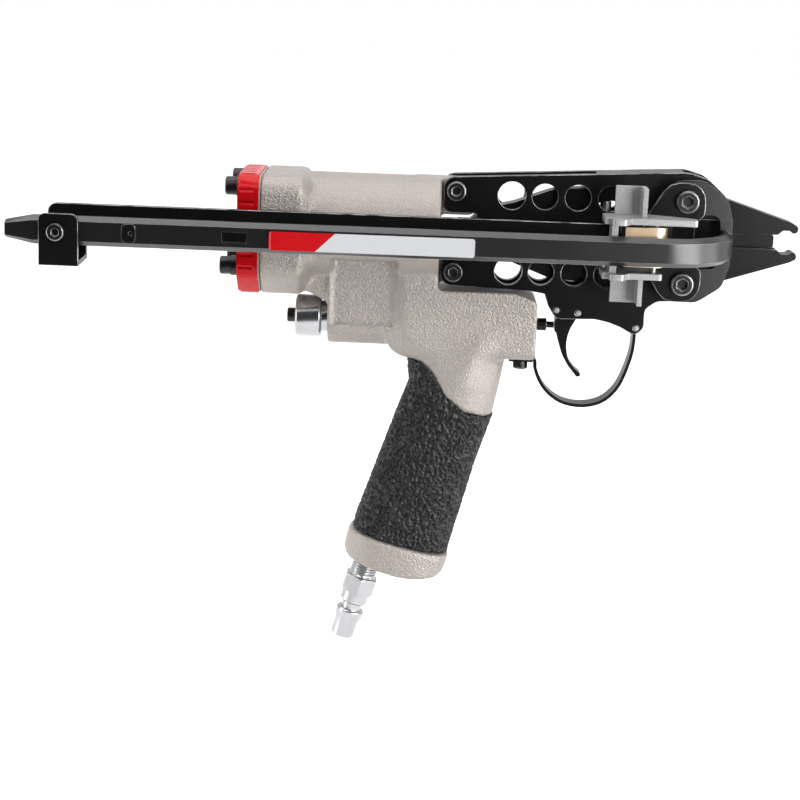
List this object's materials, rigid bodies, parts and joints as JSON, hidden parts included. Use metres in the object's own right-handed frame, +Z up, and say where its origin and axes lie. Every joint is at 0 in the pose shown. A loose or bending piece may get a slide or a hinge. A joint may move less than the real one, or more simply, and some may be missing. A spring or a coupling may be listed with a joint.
{
  "type": "pneumatic hog ring tool",
  "caption": "Pistol-shaped air tool that closes open wire rings with scissor jaws, fed from a long side magazine; cast body, rubber grip and side plates.",
  "frame": {"origin": "centre of the rear cap's outer face, on the axis of the air cylinder", "axes": "+X along the cylinder towards the jaws, +Z up away from the handle, the ring magazine on the -Y side"},
  "size_m": [0.3596, 0.0814, 0.2353],
  "materials": {
    "casting": "sand-blasted casting, pearl grey coat",
    "cap_red": "gloss red enamel",
    "gasket": "pale fibre gasket",
    "rubber": "moulded rubber with a vermiculate grain",
    "nickel": "bright nickel plate",
    "black_steel": "satin black coated steel",
    "brass": "bright brass",
    "steel": "satin steel"
  },
  "bodies": {
    "frame": {"casting": "casting", "rear_cap": "cap_red", "rear_gasket": "gasket", "grip_sleeve": "rubber", "air_plug": "nickel", "exhaust_cap": "nickel", "cap_washer_1": "black_steel", "cap_washer_2": "black_steel", "cap_washer_3": "black_steel", "cap_washer_4": "black_steel", "cap_screw_1": "black_steel", "cap_screw_2": "black_steel", "cap_screw_3": "black_steel", "cap_screw_4": "black_steel", "exhaust_screw": "black_steel", "near_side_plate": "black_steel", "far_side_plate": "black_steel", "top_bridge": "black_steel", "rear_screw_upper": "black_steel", "rear_screw_lower": "black_steel", "rear_nut_upper": "black_steel", "rear_nut_lower": "black_steel", "jaw_screw_upper": "black_steel", "jaw_screw_lower": "black_steel", "jaw_nut_upper": "black_steel", "jaw_nut_lower": "black_steel", "ring_guide": "black_steel", "trigger_guard": "black_steel", "guard_screw": "black_steel", "magazine_rail": "black_steel", "magazine_strip": "black_steel", "rear_bracket": "black_steel", "bracket_screw": "black_steel", "valve_end_plug": "brass", "valve_sleeve": "brass", "rod_bush": "brass", "trigger_pin": "steel", "stop_pin": "steel", "guard_pin": "steel", "ring_guide_pin": "steel", "return_spring": "steel", "valve_spring": "steel", "jaw_spring": "steel", "bracket_spacer": "steel"},
    "trigger": {"trigger": "black_steel"},
    "valve": {"valve_stem": "black_steel"},
    "driver": {"piston": "steel", "piston_ring": "rubber", "piston_rod": "steel", "piston_nut": "steel", "driver_head": "steel"},
    "upper_jaw": {"upper_jaw": "black_steel"},
    "lower_jaw": {"lower_jaw": "black_steel"},
    "feed_carriage": {"feed_pusher": "steel", "feed_coil": "brass", "coil_pin": "steel", "coil_drum": "steel"},
    "catch": {"magazine_catch": "black_steel"}
  },
  "joints": [
    {"name": "trigger_pivot", "type": "hinge", "parent": "frame", "child": "trigger", "pos_m": [0.1588, 0, -0.0362], "axis": [0, 1, 0], "range_deg": [0, 14]},
    {"name": "valve_slide", "type": "slide", "parent": "frame", "child": "valve", "axis": [-1, 0, 0], "range_m": [0, 0.0019], "stiffness_N_per_m": 600, "springref_m": -0.003, "deforming": ["valve_spring"]},
    {"name": "driver_slide", "type": "slide", "parent": "frame", "child": "driver", "axis": [1, 0, 0], "range_m": [0, 0.03], "stiffness_N_per_m": 400, "springref_m": -0.02, "deforming": ["return_spring"]},
    {"name": "upper_jaw_pivot", "type": "hinge", "parent": "frame", "child": "upper_jaw", "pos_m": [0.2048, 0, 0.019], "axis": [0, 1, 0], "range_deg": [0, 4.6], "deforming": ["jaw_spring"]},
    {"name": "lower_jaw_pivot", "type": "hinge", "parent": "frame", "child": "lower_jaw", "pos_m": [0.2048, 0, -0.019], "axis": [0, 1, 0], "range_deg": [-4.6, 0]},
    {"name": "feed_slide", "type": "slide", "parent": "frame", "child": "feed_carriage", "axis": [-1, 0, 0], "range_m": [0, 0.2], "stiffness_N_per_m": 8, "springref_m": -0.5, "deforming": ["feed_coil"]},
    {"name": "catch_press", "type": "slide", "parent": "frame", "child": "catch", "axis": [0, 1, 0], "range_m": [0, 0.0015], "stiffness_N_per_m": 600, "springref_m": -0.002}
  ],
  "couplings": [
    {"joint": "trigger_pivot", "follows": "valve_slide", "rad_per_m": 128.2},
    {"joint": "upper_jaw_pivot", "follows": "driver_slide", "rad_per_m": 2.618},
    {"joint": "lower_jaw_pivot", "follows": "driver_slide", "rad_per_m": -2.618}
  ]
}
